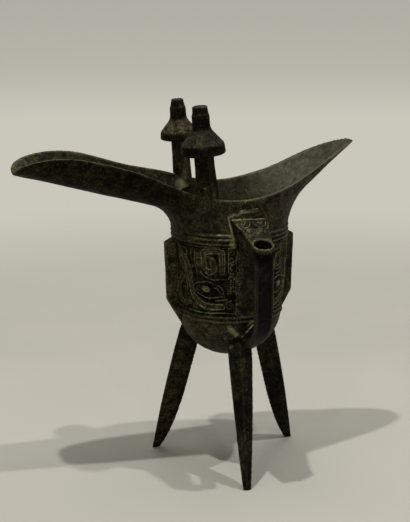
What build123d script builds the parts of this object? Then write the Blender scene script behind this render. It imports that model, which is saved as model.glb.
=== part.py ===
from build123d import *
from math import acos, asin, cos, degrees, pi, radians, sin, sqrt, tan
import os

# A three-legged bronze wine cup with a spout, a tail, capped posts and a beast-head handle.
# Sizes are in millimetres and degrees. Z is up from the ground, the spout points to -X,
# the tail to +X and the handle to -Y. The origin is under the middle of the whole outline.

overall_height = 200.0

# Cup
wall = 2.4
bottom_depth = 26.0
bottom_radius = 28.2
band_height = 41.5
neck_radius = 31.0

# Bow strings, the raised lines below and above the ornament band
string_radius = 0.8
string_pitch = 2.4
upper_string_count = 3
upper_string_rise = 4.3
lower_string_count = 2
lower_string_rise = 1.4

# Spout: an open channel whose floor leaves the neck in a round flare and then rises straight
spout_reach = 114.7
spout_slope = 15.6
spout_flare = 18.0
spout_half_width = 20.2
spout_lip = 1.4
spout_nose_length = 23.0
spout_nose_depth = 15.7
spout_middle_depth = 17.8
spout_waist_depth = 17.3
spout_root_rise = 31.7
spout_seam = 4.0

# Tail: flares from the neck in the same way, steeper and shorter
tail_reach = 69.8
tail_slope = 38.3
tail_flare = 31.7
tail_lip = 0.5
tail_root_rise = 29.9
tail_rim_slope = 17.0
tail_seam = 4.0

# Lowest point of the rim, above the foot of the mouth, and the dip of the rim at the handle side's post
rim_low_rise = 23.1
rim_dip = 4.5

# Posts, square in section, standing on the rim where the spout leaves the bowl
front_post_angle = 48.0
rear_post_angle = 45.0
post_rise = 20.8
post_width = 8.8
post_depth = 7.0
post_corner = 1.0
post_overhang = 0.6
front_post_lean = 4.6
rear_post_lean = 3.3
post_lug = 4.6
post_foot_height = 15.0
post_foot_spread = 1.6
spigot_radius = 2.6
spigot_length = 8.0
spigot_clearance = 0.1

# Caps, from the seat upward: sloping underside, band, straight flare, round bell, neck, ledge and knob
front_cap_height = 26.6
front_cap_radius = 11.6
front_cap_underside = 2.0
front_cap_band = 5.2
front_cap_neck_radius = 4.7
front_cap_knob_radius = 4.0
rear_cap_height = 23.2
rear_cap_radius = 10.6
rear_cap_underside = 1.6
rear_cap_band = 4.2
rear_cap_neck_radius = 4.5
rear_cap_knob_radius = 3.3
rear_cap_drop = 0.6
cap_band_taper = 0.5
cap_flare_angle = 40.0
cap_flare_radius = 5.1
cap_knob_height = 4.4
cap_ledge = 0.5

# Handle
handle_reach = 57.5
strap_setback = 1.5
strap_width = 10.0
strap_thickness = 4.2
strap_corner = 1.2
strap_groove_width = 7.0
strap_groove_depth = 0.6
strap_drop = 26.0
strap_bend_radius = 27.0
strap_bend_turn = 70.0
strap_root_run = 10.0
strap_end_width = 4.4
head_rise = 13.8
head_depth = 15.8
head_root_height = 17.0
head_root_width = 19.3
head_brow_length = 2.0
head_cheek_length = 11.0
head_cheek_width = 14.4
snout_drop = 12.3
snout_radius = 5.9
snout_setback = 4.85
snout_lip = 1.0
snout_bore_radius = 4.3
snout_bore_depth = 5.0
collar_margin = 2.6
collar_top_margin = 5.0
collar_thickness = 1.6
collar_corner = 2.0

# Legs: blades that lean outward, with a ridge towards the middle
leg_turn = -7.0
foot_radius = 46.6
foot_width = 4.8
foot_depth = 4.4
leg_root_rise = 22.0
leg_root_width = 14.0
leg_root_depth = 12.8
leg_root_inset = 2.6
leg_face_crown = 0.12
leg_bow = 1.0
leg_edge_curve = 1.6
leg_ridge_curve = 5.0

# Flanges, the ribs on the ornament band
flange_thickness = 3.2
flange_top_reach = 5.5
flange_bottom_reach = 7.3
flange_top_drop = 0.2
flange_top_slope = 2.9
flange_bottom_drop = 8.8
flange_bottom_slope = 15.6

# Heights and places that follow from these sizes
leg_height = overall_height - bottom_depth - band_height - rim_low_rise - post_rise - front_cap_height
shoulder = leg_height + bottom_depth
mouth_base = shoulder + band_height
flange_top_radius = neck_radius + flange_top_reach
axis_x = (spout_reach - tail_reach) / 2
axis_y = (handle_reach - flange_top_radius) / 2
axis_foot = Vector(axis_x, axis_y, 0)
cup_axis = Axis(axis_foot, (0, 0, 1))
level = Plane(axis_foot)
up = Vector(0, 0, 1)


def upright(angle):
    """Vertical plane through the cup's axis: x runs outward at an angle from the tail, y runs up."""
    outward = Vector(1, 0, 0).rotate(Axis.Z, angle)
    return Plane(axis_foot, x_dir=outward, z_dir=outward.cross(up))


side = upright(0)
handle_side = upright(-90)
handle_front = Plane(axis_foot, x_dir=(1, 0, 0), z_dir=(0, -1, 0))


def floor_height(distance, flare, slope):
    """Height of the straight underside of the spout or tail at a distance from the cup's axis."""
    rise = radians(slope)
    start = neck_radius + flare * (1 - sin(rise))
    return mouth_base + flare * cos(rise) + (distance - start) * tan(rise)


spout_tip_height = floor_height(spout_reach, spout_flare, spout_slope) + spout_lip
spout_nose = spout_reach - spout_nose_length
spout_nose_height = floor_height(spout_nose, spout_flare, spout_slope) + spout_nose_depth
spout_middle = (neck_radius + spout_reach) / 2
spout_middle_height = floor_height(spout_middle, spout_flare, spout_slope) + spout_middle_depth
spout_waist = 0.6 * neck_radius + 0.4 * spout_middle
spout_waist_height = floor_height(spout_waist, spout_flare, spout_slope) + spout_waist_depth
tail_tip_height = floor_height(tail_reach, tail_flare, tail_slope) + tail_lip
mouth_top = max(spout_nose_height, tail_tip_height) + wall
flare_steps = 4
floor_steps = 3


def flare_levels(flare, slope, inset):
    """Reach and height of the underside at steps round the flare, from the neck outward."""
    centre = neck_radius + flare
    radius = flare + inset
    turns = [radians((90 - slope) * step / flare_steps) for step in range(flare_steps + 1)]
    return [(centre - radius * cos(turn), mouth_base + radius * sin(turn)) for turn in turns]


def floor_levels(flare_end, slope):
    """Reach and height of the underside at steps along the straight floor, from the flare's end up."""
    reach, height = flare_end
    rises = [(mouth_top - height) * step / floor_steps for step in range(floor_steps + 1)]
    return [(reach + rise / tan(radians(slope)), height + rise) for rise in rises]


def spout_section(reach, height, radius, half_width):
    """Level section of the bowl's spout half: round bowl, then an ellipse out to the spout."""
    corner = sqrt(radius**2 - half_width**2)
    bowl_turn = 90 - degrees(asin(half_width / radius))
    side_radius = half_width / sqrt(1 - (corner / reach) ** 2)
    leave = 180 - degrees(acos(corner / reach))
    with BuildSketch(level.offset(height)) as section:
        with BuildLine():
            CenterArc((0, 0), radius, 90, bowl_turn)
            EllipticalCenterArc((0, 0), reach, side_radius, leave, arc_size=360 - 2 * leave)
            CenterArc((0, 0), radius, 270 - bowl_turn, bowl_turn)
            Line((0, -radius), (0, radius))
        make_face()
    return section.sketch


def tail_section(reach, height, radius):
    """Level section of the bowl's tail half: half an ellipse."""
    with BuildSketch(level.offset(height)) as section:
        with BuildLine():
            EllipticalCenterArc((0, 0), reach, radius, -90, arc_size=180)
            Line((0, radius), (0, -radius))
        make_face()
    return section.sketch


def vessel_form(inset, string_heights):
    """Filled form of the cup with its spout and tail, drawn in by an inset, with strings if any."""
    radius = neck_radius - inset
    half_width = spout_half_width - inset
    spout_flare_levels = flare_levels(spout_flare, spout_slope, inset)
    spout_floor_levels = floor_levels(spout_flare_levels[-1], spout_slope)
    tail_flare_levels = flare_levels(tail_flare, tail_slope, inset)
    tail_floor_levels = floor_levels(tail_flare_levels[-1], tail_slope)
    with BuildPart() as form:
        with BuildSketch(side):
            with BuildLine():
                EllipticalCenterArc((0, shoulder), bottom_radius - inset, bottom_depth - inset, -90)
                Line((bottom_radius - inset, shoulder), (radius, mouth_base))
                Line((radius, mouth_base), (0, mouth_base))
                Line((0, mouth_base), (0, leg_height + inset))
            make_face()
            for height in string_heights:
                with Locations((bottom_radius, height)):
                    Circle(string_radius)
        revolve(axis=cup_axis)
        loft([spout_section(*place, radius, half_width) for place in spout_flare_levels])
        loft([spout_section(*place, radius, half_width) for place in spout_floor_levels], ruled=True)
        loft([tail_section(*place, radius) for place in tail_flare_levels])
        loft([tail_section(*place, radius) for place in tail_floor_levels], ruled=True)
    return form.part


lower_strings = [shoulder + lower_string_rise - count * string_pitch for count in range(lower_string_count)]
upper_strings = [mouth_base + upper_string_rise - count * string_pitch for count in range(upper_string_count)]
outer_form = vessel_form(0, lower_strings)
inner_form = vessel_form(wall, [])

# The filled outer form with all its strings, which every attached piece is fitted to
with BuildPart() as cup_form:
    add(outer_form)
    with BuildSketch(side):
        for height in upper_strings:
            with Locations((neck_radius, height)):
                Circle(string_radius)
    revolve(axis=cup_axis)


def rim_outline(dip):
    """Side view of all that lies below the rim, which dips where the spout leaves the bowl."""
    nose_rise = spout_nose_height - spout_tip_height
    EllipticalCenterArc((-spout_nose, spout_tip_height), spout_nose_length, nose_rise, 90)
    Spline(
        (-spout_nose, spout_nose_height),
        (-spout_middle, spout_middle_height),
        (-spout_waist, spout_waist_height - waist_share * dip),
        (-neck_radius, mouth_base + spout_root_rise - dip),
        (0, mouth_base + rim_low_rise - bowl_share * dip),
        (neck_radius, mouth_base + tail_root_rise),
        (tail_reach, tail_tip_height),
        tangents=[(1, 0), (1, tan(radians(tail_rim_slope)))],
    )
    Line((tail_reach, tail_tip_height), (tail_reach, 0))
    Line((tail_reach, 0), (-spout_reach, 0))
    Line((-spout_reach, 0), (-spout_reach, spout_tip_height))


# Shares of the dip that reach the spout's waist and the low point of the bowl
waist_share = 0.13
bowl_share = 0.09

# The handle side with its dip, and the far side without
with BuildPart() as below_rim:
    for direction, dip in ((1, rim_dip), (-1, 0)):
        with BuildSketch(side):
            with BuildLine():
                rim_outline(dip)
            make_face()
        extrude(amount=direction * 2 * neck_radius)

# The whole cast shell, hollowed and cut along the rim
with BuildPart() as vessel:
    add(cup_form.part)
    add(inner_form, mode=Mode.SUBTRACT)
    add(below_rim.part, mode=Mode.INTERSECT)

os.makedirs("parts", exist_ok=True)

# Spout and tail meet the cup on two upright planes just outside the neck
spout_joint = neck_radius + spout_seam
tail_joint = neck_radius + tail_seam

for slice_name, start, end in (
    ("cup_body", -spout_joint, tail_joint),
    ("spout", -spout_reach, -spout_joint),
    ("tail", tail_joint, tail_reach),
):
    with BuildPart() as vessel_slice:
        add(vessel.part)
        with BuildSketch(side):
            with Locations(((start + end) / 2, overall_height / 2)):
                Rectangle(end - start, overall_height)
        extrude(amount=2 * neck_radius, both=True, mode=Mode.INTERSECT)
    vessel_slice.part.label = slice_name
    export_step(vessel_slice.part, f"parts/{slice_name}.step")

# Posts and caps
rim_low = mouth_base + rim_low_rise
post_radius = neck_radius + post_overhang - post_depth / 2


def post_point(angle, lean, height):
    """Point on a post's leaning axis at a height above the ground."""
    outward = Vector(1, 0, 0).rotate(Axis.Z, angle)
    foot = axis_foot + outward * post_radius + up * rim_low
    return foot + Vector(-tan(radians(lean)), 0, 1) * (height - rim_low)


def post_section(angle, point, spread, facing):
    """Section of a post at a point of its axis, one flat side turned outward."""
    outward = Vector(1, 0, 0).rotate(Axis.Z, angle)
    with BuildSketch(Plane(point, x_dir=outward, z_dir=facing)) as section:
        RectangleRounded(post_depth, post_width + 2 * spread, post_corner)
    return section.sketch


def cap_profile(height, radius, underside, band, neck, knob):
    """Half outline of a cap, from its seat on the post up to the knob."""
    band_top = underside + band
    rim = radius - cap_band_taper
    ledge = height - cap_knob_height
    turn = radians(cap_flare_angle)
    flare_run = rim - neck - cap_flare_radius * (1 - cos(turn))
    bell_top = band_top + flare_run / tan(turn) + cap_flare_radius * sin(turn)
    bell = JernArc((neck, bell_top), (0, -1), cap_flare_radius, cap_flare_angle)
    Polyline(bell @ 1, (rim, band_top), (radius, underside), (post_depth / 2, 0), (0, 0), (0, height))
    Polyline((0, height), (knob, height), (neck - cap_ledge, ledge), (neck, ledge), (neck, bell_top))


front_post_top = rim_low + post_rise
rear_post_top = overall_height - rear_cap_drop - rear_cap_height
front_cap = (
    front_cap_height,
    front_cap_radius,
    front_cap_underside,
    front_cap_band,
    front_cap_neck_radius,
    front_cap_knob_radius,
)
rear_cap = (
    rear_cap_height,
    rear_cap_radius,
    rear_cap_underside,
    rear_cap_band,
    rear_cap_neck_radius,
    rear_cap_knob_radius,
)

for post_name, angle, lean, top, cap_sizes in (
    ("front_post", front_post_angle - 180, front_post_lean, front_post_top, front_cap),
    ("rear_post", 180 - rear_post_angle, rear_post_lean, rear_post_top, rear_cap),
):
    foot = post_point(angle, lean, rim_low - post_lug)
    ankle = post_point(angle, lean, rim_low + post_foot_height)
    seat = post_point(angle, lean, top)
    post_axis_dir = (seat - foot).normalized()
    seat_plane = Plane(seat, x_dir=(1, 0, 0), z_dir=post_axis_dir)
    with BuildPart() as post:
        foot_section = post_section(angle, foot, post_foot_spread, up)
        ankle_section = post_section(angle, ankle, 0, up)
        top_section = post_section(angle, seat, 0, post_axis_dir)
        loft([foot_section, ankle_section, top_section], ruled=True)
        with BuildSketch(seat_plane):
            Circle(spigot_radius)
        extrude(amount=spigot_length)
        add(vessel.part, mode=Mode.SUBTRACT)
    post.part.label = post_name
    export_step(post.part, f"parts/{post_name}.step")

    with BuildPart() as cap:
        with BuildSketch(Plane(seat, x_dir=seat_plane.x_dir, z_dir=-seat_plane.y_dir)):
            with BuildLine():
                cap_profile(*cap_sizes)
            make_face()
        revolve(axis=Axis(seat, post_axis_dir))
        with BuildSketch(seat_plane):
            Circle(spigot_radius + spigot_clearance)
        extrude(amount=spigot_length + spigot_clearance, mode=Mode.SUBTRACT)
    cap.part.label = f"{post_name}_cap"
    export_step(cap.part, f"parts/{post_name}_cap.step")


# Legs
leg_root = leg_height + leg_root_rise
leg_root_radius = bottom_radius - leg_root_inset
leg_levels = 6
leg_shares = [(step / leg_levels) ** 1.4 for step in range(leg_levels + 1)]


def leg_section(plane, share):
    """Kite-shaped section of a leg at a share of its height: crowned outer face, ridge inside."""
    outer = foot_radius + (leg_root_radius - foot_radius) * share + leg_bow * sin(pi * share)
    width = foot_width + (leg_root_width - foot_width) * (1 - (1 - share) ** leg_edge_curve)
    depth = foot_depth + (leg_root_depth - foot_depth) * (1 - (1 - share) ** leg_ridge_curve)
    edge = outer - leg_face_crown * width
    with BuildSketch(plane.offset(leg_root * share)) as section:
        Polygon((outer, 0), (edge, width / 2), (outer - depth, 0), (edge, -width / 2), align=None)
    return section.sketch


legs = {}
for leg_name, angle in (("handle_leg", -90), ("tail_leg", 30), ("spout_leg", 150)):
    leg_plane = Plane(axis_foot, x_dir=Vector(1, 0, 0).rotate(Axis.Z, angle + leg_turn), z_dir=up)
    with BuildPart() as leg:
        loft([leg_section(leg_plane, share) for share in leg_shares])
        add(cup_form.part, mode=Mode.SUBTRACT)
    leg.part.label = leg_name
    export_step(leg.part, f"parts/{leg_name}.step")
    legs[leg_name] = leg.part

# Flanges
flange_bottom_radius = bottom_radius + flange_bottom_reach
flange_foot_radius = bottom_radius * sqrt(1 - (flange_bottom_drop / bottom_depth) ** 2)
flange_top = mouth_base - flange_top_drop
flange_bottom = shoulder - flange_bottom_drop

for flange_name, angle in (("tail_flange", 0), ("back_flange", 90), ("spout_flange", 180)):
    with BuildPart() as flange:
        with BuildSketch(upright(angle)):
            Polygon(
                (0, flange_bottom),
                (flange_foot_radius, flange_bottom),
                (flange_bottom_radius, flange_bottom + flange_bottom_slope),
                (flange_top_radius, flange_top - flange_top_slope),
                (neck_radius, flange_top),
                (0, flange_top),
                align=None,
            )
        extrude(amount=flange_thickness / 2, both=True)
        add(cup_form.part, mode=Mode.SUBTRACT)
    flange.part.label = flange_name
    export_step(flange.part, f"parts/{flange_name}.step")

# Handle head: a wedge that meets in its side, plan and front outlines, with a ring round the snout
head_top = mouth_base + head_rise
head_bottom = head_top - head_root_height
head_back = neck_radius - wall
head_brow = neck_radius + head_brow_length
head_cheek = neck_radius + head_cheek_length
strap_top = head_top - head_depth
strap_reach = handle_reach - strap_setback
snout_front = (handle_reach, head_top - snout_drop)
face_fall = Vector(handle_reach - neck_radius, -snout_drop).normalized()
snout_height = snout_front[1] - snout_setback * face_fall.Y / face_fall.X
snout_middle = handle_side.from_local_coords((handle_reach - snout_setback, snout_height))
snout_along = handle_side.x_dir * face_fall.X + up * face_fall.Y
snout_plane = Plane(snout_middle, x_dir=snout_along, z_dir=Vector(1, 0, 0).cross(snout_along))

with BuildPart() as handle_head:
    with BuildSketch(handle_side):
        Polygon(
            (head_back, head_top),
            (neck_radius, head_top),
            snout_front,
            (strap_reach, strap_top),
            (strap_reach - strap_thickness, strap_top),
            (head_back, head_bottom),
            align=None,
        )
    extrude(amount=head_root_width, both=True)
    with BuildSketch(level):
        with BuildLine():
            snout_centre = handle_reach - snout_radius
            Polyline(
                (-snout_radius, -snout_centre),
                (-head_cheek_width / 2, -head_cheek),
                (-head_root_width / 2, -head_brow),
                (-head_root_width / 2, -head_back),
                (head_root_width / 2, -head_back),
                (head_root_width / 2, -head_brow),
                (head_cheek_width / 2, -head_cheek),
                (snout_radius, -snout_centre),
            )
            ThreePointArc((snout_radius, -snout_centre), (0, -handle_reach), (-snout_radius, -snout_centre))
        make_face()
    extrude(amount=overall_height, mode=Mode.INTERSECT)
    with BuildSketch(handle_front):
        Polygon(
            (-head_root_width / 2, head_top),
            (head_root_width / 2, head_top),
            (strap_width / 2, head_bottom),
            (-strap_width / 2, head_bottom),
            align=None,
        )
    extrude(amount=handle_reach, mode=Mode.INTERSECT)
    with BuildSketch(snout_plane):
        Circle(snout_radius)
    extrude(amount=snout_lip)
    with BuildSketch(snout_plane.offset(snout_lip)):
        Circle(snout_bore_radius)
    extrude(amount=-snout_bore_depth, mode=Mode.SUBTRACT)
    add(cup_form.part, mode=Mode.SUBTRACT)
handle_head.part.label = "handle_head"
export_step(handle_head.part, "parts/handle_head.step")

# Collar: a frame of even thickness on the wall round the root of the head
collar_top = head_top + collar_top_margin
collar_top_width = head_root_width + 2 * collar_margin
collar_bottom_width = strap_width + 2 * collar_margin

with BuildPart() as handle_collar:
    with BuildSketch(handle_front):
        Polygon(
            (-collar_top_width / 2, collar_top),
            (collar_top_width / 2, collar_top),
            (collar_bottom_width / 2, head_bottom),
            (-collar_bottom_width / 2, head_bottom),
            align=None,
        )
        fillet(vertices(), collar_corner)
    extrude(amount=2 * neck_radius)
    with BuildSketch(level):
        Circle(neck_radius + collar_thickness)
    extrude(amount=overall_height, mode=Mode.INTERSECT)
    add(cup_form.part, mode=Mode.SUBTRACT)
    add(handle_head.part, mode=Mode.SUBTRACT)
handle_collar.part.label = "handle_collar"
export_step(handle_collar.part, "parts/handle_collar.step")

# Strap: swept down from the head and round a bend, where it tapers and a web ties it to the cup
strap_line = strap_reach - strap_thickness / 2
strap_bend = strap_top - strap_drop
strap_start = handle_side.from_local_coords((strap_line, strap_top))
bend_turn = radians(strap_bend_turn)
bend_reach = strap_line - strap_bend_radius * (1 - cos(bend_turn))
bend_end = strap_bend - strap_bend_radius * sin(bend_turn)
strap_end = bend_end - strap_root_run * cos(bend_turn) - strap_thickness
web_reach = strap_line - strap_bend_radius * (1 - cos(bend_turn / 2))
web_top = strap_bend - strap_bend_radius * sin(bend_turn / 2)

with BuildPart() as handle_strap:
    with BuildLine(handle_side) as strap_path:
        straight = Line((strap_line, strap_top), (strap_line, strap_bend))
        bend = CenterArc((strap_line - strap_bend_radius, strap_bend), strap_bend_radius, 0, -strap_bend_turn)
        PolarLine(bend @ 1, strap_root_run, direction=bend % 1)
    with BuildSketch(Plane(strap_start, x_dir=(1, 0, 0), z_dir=(0, 0, -1))):
        RectangleRounded(strap_width, strap_thickness, strap_corner)
        with Locations((0, strap_thickness / 2)):
            Rectangle(strap_groove_width, 2 * strap_groove_depth, mode=Mode.SUBTRACT)
    sweep(path=strap_path.line)
    with BuildSketch(handle_side):
        Polygon((0, web_top), (web_reach, web_top), (bend_reach, bend_end), (0, bend_end), align=None)
    extrude(amount=strap_width / 2, both=True)
    with BuildSketch(handle_front):
        Polygon(
            (-strap_width / 2, strap_top),
            (strap_width / 2, strap_top),
            (strap_width / 2, strap_bend),
            (strap_end_width / 2, strap_end),
            (-strap_end_width / 2, strap_end),
            (-strap_width / 2, strap_bend),
            align=None,
        )
    extrude(amount=handle_reach, mode=Mode.INTERSECT)
    add(cup_form.part, mode=Mode.SUBTRACT)
    add(legs["handle_leg"], mode=Mode.SUBTRACT)

# The cuts leave crumbs behind the leg, and the strap is the largest piece
strap_solid = handle_strap.part.solids().sort_by(SortBy.VOLUME)[-1]
strap_solid.label = "handle_strap"
export_step(strap_solid, "parts/handle_strap.step")
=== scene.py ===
import itertools
import math

import bmesh
import bpy
import numpy as np
from bpy.props import FloatProperty, FloatVectorProperty, IntProperty, PointerProperty
from bpy.types import Operator, Panel, PropertyGroup
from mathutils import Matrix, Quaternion, Vector


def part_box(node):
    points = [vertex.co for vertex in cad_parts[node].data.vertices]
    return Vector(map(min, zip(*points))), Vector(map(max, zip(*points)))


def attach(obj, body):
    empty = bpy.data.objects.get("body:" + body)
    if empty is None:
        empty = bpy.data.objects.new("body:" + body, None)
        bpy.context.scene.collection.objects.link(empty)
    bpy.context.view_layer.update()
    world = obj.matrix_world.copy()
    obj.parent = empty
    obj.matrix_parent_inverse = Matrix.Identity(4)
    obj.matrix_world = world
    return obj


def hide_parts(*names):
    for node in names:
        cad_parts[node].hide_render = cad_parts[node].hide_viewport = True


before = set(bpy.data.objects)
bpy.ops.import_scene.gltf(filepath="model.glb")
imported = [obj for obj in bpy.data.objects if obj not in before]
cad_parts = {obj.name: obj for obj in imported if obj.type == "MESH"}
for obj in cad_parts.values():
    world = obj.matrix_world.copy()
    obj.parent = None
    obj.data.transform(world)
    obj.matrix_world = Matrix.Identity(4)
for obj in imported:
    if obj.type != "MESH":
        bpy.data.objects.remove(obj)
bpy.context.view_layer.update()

bl_info = {
    "name": "Bronze jue vessel",
    "version": (1, 0, 0),
    "blender": (4, 5, 0),
    "location": "View3D > Sidebar > Jue",
    "description": "Dresses the solids of a three-legged bronze wine cup as an old casting",
    "category": "Object",
}

mm = 0.001

# Places taken from the solids: the cup's upright axis, the ornament band and the joints of spout and tail
cup_low, cup_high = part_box("cup_body")
axis_x = (cup_low.x + cup_high.x) / 2
axis_y = (cup_low.y + cup_high.y) / 2
cup_axis = np.array((axis_x, axis_y, 0))
spout_joint = cup_low.x
tail_joint = cup_high.x
flange_low, flange_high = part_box("back_flange")
band_bottom = flange_low.z + 10.8 * mm
band_top = flange_high.z - 0.5 * mm
band_radius = 29.6 * mm
bore_radius = 27 * mm
neck_middle = 30.6 * mm

# The strap's bend in the handle's upright plane, and the web in it, in millimetres about the cup's axis
bend_out = 26.9
bend_rise = 101.5
bend_inside = 24.9
web_top = 86.0
web_foot = 74.0
web_half_width = 3.7
web_spout_side = 78.5
strap_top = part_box("handle_strap")[1].z / mm


def linear(hex_colour):
    """Linear colour of an sRGB hex value."""
    channels = [int(hex_colour[place : place + 2], 16) / 255 for place in (1, 3, 5)]
    return [c / 12.92 if c <= 0.04045 else ((c + 0.055) / 1.055) ** 2.4 for c in channels]


def length(name, description, default):
    """A length that a user can change."""
    return FloatProperty(name=name, description=description, default=default, unit="LENGTH", precision=5)


def colour(name, description, hex_colour):
    """A colour that a user can change."""
    return FloatVectorProperty(
        name=name, description=description, default=linear(hex_colour), subtype="COLOR", min=0, max=1
    )


class JueSizes(PropertyGroup):
    """Sizes of the casting's surface."""

    shell_grain: length("Shell grain", "Size of the faces on cup, spout and tail", 0.5 * mm)
    small_grain: length("Small grain", "Size of the faces on the smaller pieces", 0.36 * mm)
    relief: length("Relief", "Height of the raised ornament", 0.7 * mm)
    thread: length("Thread", "Width of a raised thread of the ornament", 0.8 * mm)
    swell: length("Swell", "Depth of the slow unevenness of the casting", 0.3 * mm)
    swell_size: length("Swell size", "Width of one swelling", 11 * mm)
    pit: length("Pit", "Depth of the fine corrosion", 0.12 * mm)
    pit_size: length("Pit size", "Width of one corrosion pit", 1.7 * mm)
    rounding: IntProperty(name="Rounding", description="Passes that wear the edges round", default=3, min=0)


class JueColours(PropertyGroup):
    """Colours of the bronze, its patina and the floor."""

    dark: colour("Dark bronze", "Brown-black tin patina", "#0e0c07")
    brown: colour("Brown bronze", "Warm brown cuprite patina", "#413820")
    green: colour("Green patina", "Olive malachite patina", "#383a22")
    inner: colour("Inner patina", "Paler grey-olive inside the mouth", "#5b5a47")
    worn: colour("Worn edge", "Handled edges and raised threads", "#928d64")
    crust: colour("Crust", "Pale yellowish earth crust", "#aaa57c")
    floor: colour("Floor", "Pale warm grey paper", "#cac7bb")
    wall: colour("Backdrop", "The same paper further back", "#b0ada4")


def store(mesh, name, values):
    """Keeps one number for each point on a mesh, for the materials to read."""
    layer = mesh.attributes.new(name, "FLOAT", "POINT")
    layer.data.foreach_set("value", values.astype(np.float32))


def points_of(mesh):
    """Places of a mesh's points, in metres."""
    flat = np.empty(len(mesh.vertices) * 3, np.float32)
    mesh.vertices.foreach_get("co", flat)
    return flat.reshape(-1, 3).astype(float)


def normals_of(mesh):
    """Directions of a mesh's points."""
    flat = np.empty(len(mesh.vertices) * 3, np.float32)
    mesh.vertex_normals.foreach_get("vector", flat)
    return flat.reshape(-1, 3).astype(float)


def move_points(mesh, points):
    """Sets the places of a mesh's points."""
    mesh.vertices.foreach_set("co", points.astype(np.float32).ravel())
    mesh.update()


def noise(points, size, seed):
    """Smooth noise from 0 to 1 with lumps of a size, the same at each run.

    The long whole numbers scatter the corners of the grid's cells.
    """
    grid = points / size
    cell = np.floor(grid).astype(np.int64)
    share = grid - cell
    share = share * share * (3 - 2 * share)
    total = np.zeros(len(points))
    for corner in itertools.product((0, 1), repeat=3):
        key = cell + corner
        mixed = key[:, 0] * 73856093 ^ key[:, 1] * 19349663 ^ key[:, 2] * 83492791 ^ seed * 2654435761
        mixed = (mixed ^ (mixed >> 15)) * 2246822519 & 0xFFFFFFFF
        mixed = (mixed ^ (mixed >> 13)) * 3266489917 & 0xFFFFFFFF
        value = (mixed ^ (mixed >> 16)) / 0xFFFFFFFF
        weight = np.prod(np.where(corner, share, 1 - share), axis=1)
        total += weight * value
    return total


def neighbour_mean(mesh, values):
    """Mean of each point's neighbours along the edges."""
    edges = np.empty(len(mesh.edges) * 2, np.int32)
    mesh.edges.foreach_get("vertices", edges)
    first, second = edges.reshape(-1, 2).T
    count = len(mesh.vertices)
    degree = np.bincount(first, minlength=count) + np.bincount(second, minlength=count)
    columns = []
    for column in values.reshape(count, -1).T:
        total = np.bincount(first, column[second], count) + np.bincount(second, column[first], count)
        columns.append(total / np.maximum(degree, 1))
    return np.array(columns).T.reshape(values.shape)


def new_object(name, mesh):
    """An object in the scene for a mesh."""
    body = bpy.data.objects.new(name, mesh)
    bpy.context.scene.collection.objects.link(body)
    return body


def cast_copy(name, nodes, grain, rounding, seat=None):
    """The solids of some nodes as one even skin of small faces, with its edges worn round.

    A seat is a short way by which a second copy is moved, so that the skin reaches into what carries it.
    """
    shape = bmesh.new()
    for node in nodes:
        shape.from_mesh(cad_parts[node].data)
    if seat:
        first = list(shape.verts)
        shape.from_mesh(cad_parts[nodes[0]].data)
        bmesh.ops.translate(shape, verts=list(shape.verts)[len(first) :], vec=seat)
    bmesh.ops.remove_doubles(shape, verts=shape.verts, dist=mm / 1000)
    mesh = bpy.data.meshes.new(name)
    shape.to_mesh(mesh)
    shape.free()
    body = new_object(name, mesh)
    skin = body.modifiers.new("skin", "REMESH")
    skin.mode = "VOXEL"
    skin.voxel_size = grain
    worn = body.modifiers.new("worn", "SMOOTH")
    worn.factor = 0.5
    worn.iterations = rounding
    graph = bpy.context.evaluated_depsgraph_get()
    body.data = bpy.data.meshes.new_from_object(body.evaluated_get(graph))
    body.modifiers.clear()
    bpy.data.meshes.remove(mesh)
    return body


def soften(mesh, share, passes):
    """Evens out a skin, most where the share is 1."""
    points = points_of(mesh)
    for _ in range(passes):
        points += 0.5 * share[:, None] * (neighbour_mean(mesh, points) - points)
    move_points(mesh, points)


def even_out(mesh, share, passes):
    """Takes the steps of the small faces off a skin, and swells it after each pass to keep its size."""
    points = points_of(mesh)
    for _ in range(passes):
        for step in (0.5, -0.53):
            points += step * share[:, None] * (neighbour_mean(mesh, points) - points)
    move_points(mesh, points)


def bury(mesh, start, end, depth):
    """Leads a piece into the cup between two heights, so that no edge shows where it joins."""
    points = points_of(mesh)
    share = np.clip((points[:, 2] - start) / (end - start), 0, 1) ** 2
    inward = (cup_axis - points) * (1, 1, 0)
    inward /= np.linalg.norm(inward, axis=1)[:, None]
    move_points(mesh, points + inward * (share * depth)[:, None])
    soften(mesh, share, 12)


def roughen(mesh, sizes, amount=1.0):
    """Pushes a skin inward by slow swellings and fine pits, as an old casting has them."""
    points = points_of(mesh)
    swell = noise(points, sizes.swell_size, 1)
    pits = noise(points, sizes.pit_size, 2) * noise(points, 2.7 * sizes.pit_size, 3)
    depth = amount * (sizes.swell * swell + 2 * sizes.pit * pits)
    move_points(mesh, points - normals_of(mesh) * depth[:, None])


def note_wear(mesh):
    """Keeps how far each point stands out from its neighbours, or lies back, for wear and dirt."""
    points = points_of(mesh)
    normals = normals_of(mesh)
    stands = np.sum((points - neighbour_mean(mesh, points)) * normals, axis=1)
    gain = 14
    stands = gain * neighbour_mean(mesh, stands) / mm
    store(mesh, "wear", np.clip(stands, 0, 1))
    store(mesh, "cavity", np.clip(-stands, 0, 1))


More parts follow.
